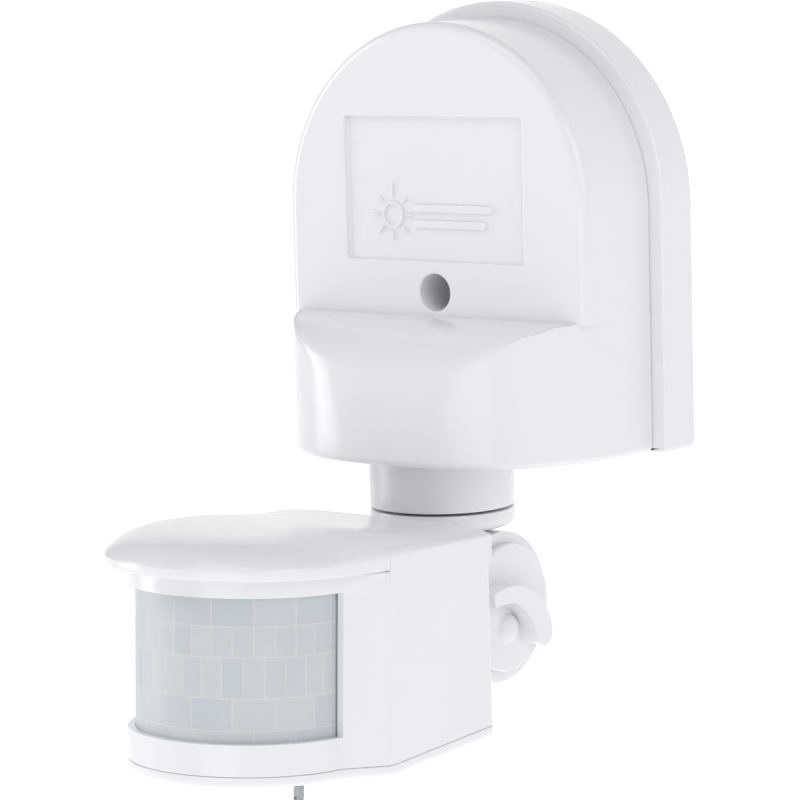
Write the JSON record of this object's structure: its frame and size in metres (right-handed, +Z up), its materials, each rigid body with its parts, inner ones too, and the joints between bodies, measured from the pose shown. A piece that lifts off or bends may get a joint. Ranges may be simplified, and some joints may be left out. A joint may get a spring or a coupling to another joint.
{
  "type": "motion sensor",
  "caption": "Wall-mounted passive infrared motion sensor: arched junction box, swivel post and a tilting head with a visor, half-round lens, clamp knob and adjusters.",
  "frame": {"origin": "centre of the back plate's wall face, on the wall plane", "axes": "+Y out of the back into the wall, +Z up, +X to the right of a viewer who faces the wall; the object stands out from the wall along -Y"},
  "size_m": [0.082, 0.1199, 0.1468],
  "materials": {
    "white_plastic": "smooth satin to gloss moulding",
    "lens_plastic": "milky translucent polyethylene with moulded segments",
    "seal_rubber": "matte elastomer",
    "zinc_steel": "bright zinc plate",
    "nut_brass": "turned",
    "board_laminate": "solder-masked laminate",
    "dark_plastic": "moulded",
    "clear_plastic": "clear to smoky",
    "friction_fibre": "pressed fibre",
    "block_plastic": "moulded, natural colour"
  },
  "bodies": {
    "box": {"wall_plate": "white_plastic", "cover_seal": "seal_rubber", "front_cover": "white_plastic", "cover_screw": "zinc_steel", "cable_grommet": "seal_rubber", "terminal_block": "block_plastic", "terminal_screw_1": "nut_brass", "terminal_screw_2": "nut_brass", "terminal_screw_3": "nut_brass", "swivel_post": "white_plastic", "post_nut": "white_plastic"},
    "arm": {"swivel_arm": "white_plastic", "pan_clip": "zinc_steel", "friction_disc_left": "friction_fibre", "friction_disc_right": "friction_fibre"},
    "head": {"head_housing": "white_plastic", "top_visor": "white_plastic", "fresnel_lens": "lens_plastic", "bottom_cover": "white_plastic", "plate_screw_front_left": "zinc_steel", "plate_screw_front_right": "zinc_steel", "plate_screw_rear_left": "zinc_steel", "plate_screw_rear_right": "zinc_steel", "sensor_board": "board_laminate", "pir_element": "zinc_steel", "light_cell": "dark_plastic", "signal_lamp": "clear_plastic", "power_board": "board_laminate", "relay": "dark_plastic", "filter_capacitor": "block_plastic", "storage_capacitor": "zinc_steel", "time_trimmer": "dark_plastic", "lux_trimmer": "dark_plastic", "range_trimmer": "dark_plastic", "clamp_bolt": "zinc_steel", "spring_washer": "zinc_steel"},
    "clamp": {"clamp_knob": "white_plastic", "clamp_nut": "nut_brass"},
    "time_dial": {"time_knob": "clear_plastic"},
    "lux_dial": {"lux_knob": "clear_plastic"},
    "range_dial": {"range_knob": "clear_plastic"}
  },
  "joints": [
    {"name": "head_pan", "type": "hinge", "parent": "box", "child": "arm", "pos_m": [0, -0.0317, -0.0568], "axis": [0, 0, 1], "range_deg": [-90, 90]},
    {"name": "head_tilt", "type": "hinge", "parent": "arm", "child": "head", "pos_m": [0, -0.0317, -0.0764], "axis": [1, 0, 0], "range_deg": [-10, 50]},
    {"name": "clamp_turn", "type": "hinge", "parent": "head", "child": "clamp", "pos_m": [0.0147, -0.0317, -0.0764], "axis": [1, 0, 0], "continuous": true},
    {"name": "time_adjust", "type": "hinge", "parent": "head", "child": "time_dial", "pos_m": [-0.0165, -0.09973, -0.0958], "axis": [0, 0.0489, 0.9988], "range_deg": [-135, 135]},
    {"name": "lux_adjust", "type": "hinge", "parent": "head", "child": "lux_dial", "pos_m": [0, -0.10572, -0.09551], "axis": [0, 0.0489, 0.9988], "range_deg": [-135, 135]},
    {"name": "range_adjust", "type": "hinge", "parent": "head", "child": "range_dial", "pos_m": [0.0165, -0.09973, -0.0958], "axis": [0, 0.0489, 0.9988], "range_deg": [-135, 135]}
  ]
}
